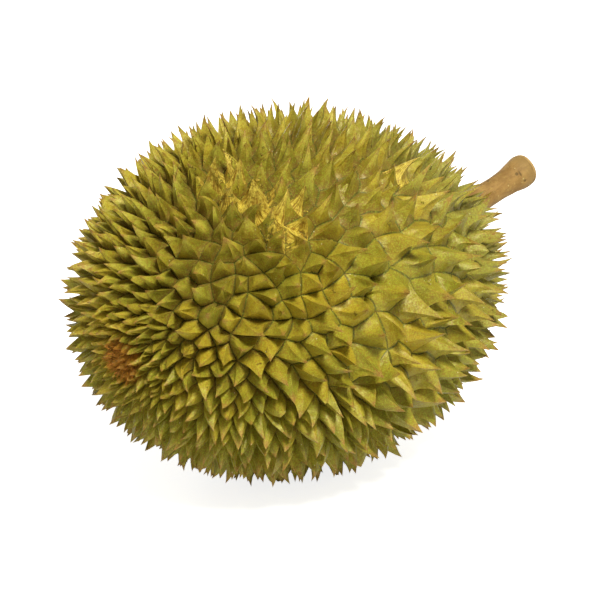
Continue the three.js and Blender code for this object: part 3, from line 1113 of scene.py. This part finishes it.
def bark_material():
    material, tree, skin = new_material("bark")
    at = attribute(tree, "bark_at", "Vector")
    up_stem_mm = attribute(tree, "up_stem")
    broad = noise(tree, at, scale=120, detail=3, roughness=0.55)
    fine = noise(tree, at, scale=900, detail=4, roughness=0.65)
    upright = {"Vector": at, "Angle": math.pi / 2}
    upright = put(tree, "ShaderNodeVectorRotate", upright, rotation_type="X_AXIS")[0]
    lines = grain_lines(tree, upright, scale=700.0, length=7.0)

    # Tan, darker in streaks along the stem, with a yellow-brown dust on it.
    colour = blended(tree, between(tree, broad, (0.35, 0.65)), BARK["brown"], BARK["tan"])
    colour = blended(tree, between(tree, lines, (0.45, 1.0), (0, 0.45)), colour, BARK["streak"])
    layers = ((BARK["dust"], 420.0, 0.4, 0.5), (BARK["grime"], 700.0, 0.45, 0.5))
    colour = mottled(tree, at, colour, layers)

    # The corky end where it parted from the branch is lighter, and its shoulder is greyer.
    end = between(tree, plus(tree, up_stem_mm, times(tree, broad, 2.0)), CORK)
    shoulder = between(tree, up_stem_mm, SHOULDER_GREY, (0, 0.35))
    colour = blended(tree, shoulder, colour, BARK["shoulder"])
    flat_at = put(tree, "ShaderNodeMapping", {"Vector": at, "Scale": (1, 1, 0)})[0]
    from_axis = put(tree, "ShaderNodeVectorMath", {0: flat_at}, operation="LENGTH")["Value"]
    ring_at = plus(tree, from_axis, times(tree, plus(tree, fine, broad), RING_WAVY))
    ring_at = put(tree, "ShaderNodeCombineXYZ", {"X": ring_at})[0]
    rings = noise(tree, ring_at, scale=480, detail=2, roughness=0.5)
    ringed = between(tree, rings, (0.38, 0.62))
    cork = blended(tree, ringed, BARK["cork_dark"], BARK["cork_light"])
    cork = blended(tree, between(tree, from_axis, PITH_EDGE, (0.5, 0.0)), cork, BARK["pith"])
    cork = blended(tree, between(tree, fine, (0.5, 0.7), (0, 0.6)), cork, BARK["cork_fleck"])
    colour = blended(tree, times(tree, end, 0.9), colour, cork)
    rim = maths(tree, "COMPARE", up_stem_mm, RIM_AT, 0.55)
    colour = blended(tree, between(tree, rim, (0, 1), (0, 0.35)), colour, BARK["rim"])

    # Dark pores, one of them long, and a few pale ones.
    pores = specks(tree, at, scale=210.0, size=0.27, share=0.42)
    mark_out = MARK_OUT * MARK_SQUASH
    mark_at = (math.cos(MARK_TURN) * mark_out, math.sin(MARK_TURN) * mark_out, MARK_UP)
    squashed = {"Vector": at, "Scale": (MARK_SQUASH, MARK_SQUASH, 1)}
    squashed = put(tree, "ShaderNodeMapping", squashed)[0]
    mark = nearness(tree, squashed, Vector(mark_at) * MM, MARK_EDGE)
    dark = maths(tree, "MAXIMUM", pores, mark)
    colour = blended(tree, times(tree, dark, 0.75), colour, BARK["pore"])
    pale = specks(tree, at, scale=520.0, size=0.3, share=0.06)
    colour = blended(tree, times(tree, pale, 0.5), colour, BARK["pale_pore"])

    # A green-brown tinge where it leaves the husk.
    tinge = between(tree, up_stem_mm, GREEN_FOOT, (0.45, 0.0))
    colour = blended(tree, tinge, colour, BARK["green_foot"])

    relief = plus(tree, times(tree, lines, 0.6), fine)
    relief = minus(tree, relief, times(tree, dark, 2.0))
    relief = plus(tree, relief, times(tree, end, times(tree, rings, 2.5)))
    finish = {
        "Base Color": colour,
        "Roughness": between(tree, fine, (0.3, 0.7), (0.6, 0.82)),
        "Specular IOR Level": 0.3,
        "Normal": bump(tree, relief, 0.6, RELIEF_DEPTH),
    }
    give(tree, skin, finish)
    return material


stem.data.materials.append(bark_material())
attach(stem, "root")
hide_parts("stem")

# -------------------------------------------------------------- floor, light and world

FLOOR_SIZE = 30.0
FLOOR_PAINT = (0.9, 0.9, 0.9, 1)
FLOOR_GLOW = 0.8
WHITE = (1, 1, 1, 1)
LAMP_AWAY = 2.0
ROOM_TINT = (1, 0.965, 0.86, 1)
ROOM_LIGHT = 0.38

bpy.ops.object.select_all(action="DESELECT")
bpy.ops.mesh.primitive_plane_add(size=FLOOR_SIZE, location=(0, 0, 0))
floor = bpy.context.object
floor.name = "floor"
floor_paint, floor_tree, floor_shader = new_material("floor_paint")
floor_seen = put(floor_tree, "ShaderNodeLightPath")["Is Camera Ray"]
floor_finish = {
    "Base Color": FLOOR_PAINT,
    "Roughness": 0.9,
    "Emission Color": WHITE,
    "Emission Strength": times(floor_tree, floor_seen, FLOOR_GLOW),
}
give(floor_tree, floor_shader, floor_finish)
floor.data.materials.append(floor_paint)


def soft_light(name, towards, size, power, colour):
    """A square area light that lies in the direction towards, seen from the fruit, and faces it."""
    lamp = bpy.data.objects.new(name, bpy.data.lights.new(name, "AREA"))
    bpy.context.scene.collection.objects.link(lamp)
    towards = Vector(towards).normalized()
    lamp.location = husk_middle + towards * LAMP_AWAY
    lamp.rotation_euler = towards.to_track_quat("Z", "Y").to_euler()
    lamp.data.size = size
    lamp.data.energy = power
    lamp.data.color = colour


key_way = view_right * 0.19 + view_up * 0.54 + view_back * 0.8
soft_light("key", key_way, size=0.5, power=52, colour=(0.99, 0.985, 0.94))
back_way = view_up * 0.45 - view_back * 0.85 - view_right * 0.3
soft_light("back", back_way, size=1.2, power=14, colour=(1, 1, 1))

world = bpy.data.worlds.new("studio")
world.use_nodes = True
bpy.context.scene.world = world
sky = world.node_tree
seen = put(sky, "ShaderNodeLightPath")["Is Camera Ray"]
strength = put(sky, "ShaderNodeMapRange", {"Value": seen, "To Min": ROOM_LIGHT, "To Max": 1.0})
backdrop = {"Color": blended(sky, seen, ROOM_TINT, WHITE), "Strength": strength["Result"]}
give(sky, sky.nodes["Background"], backdrop)
bpy.context.scene.view_settings.view_transform = "Standard"
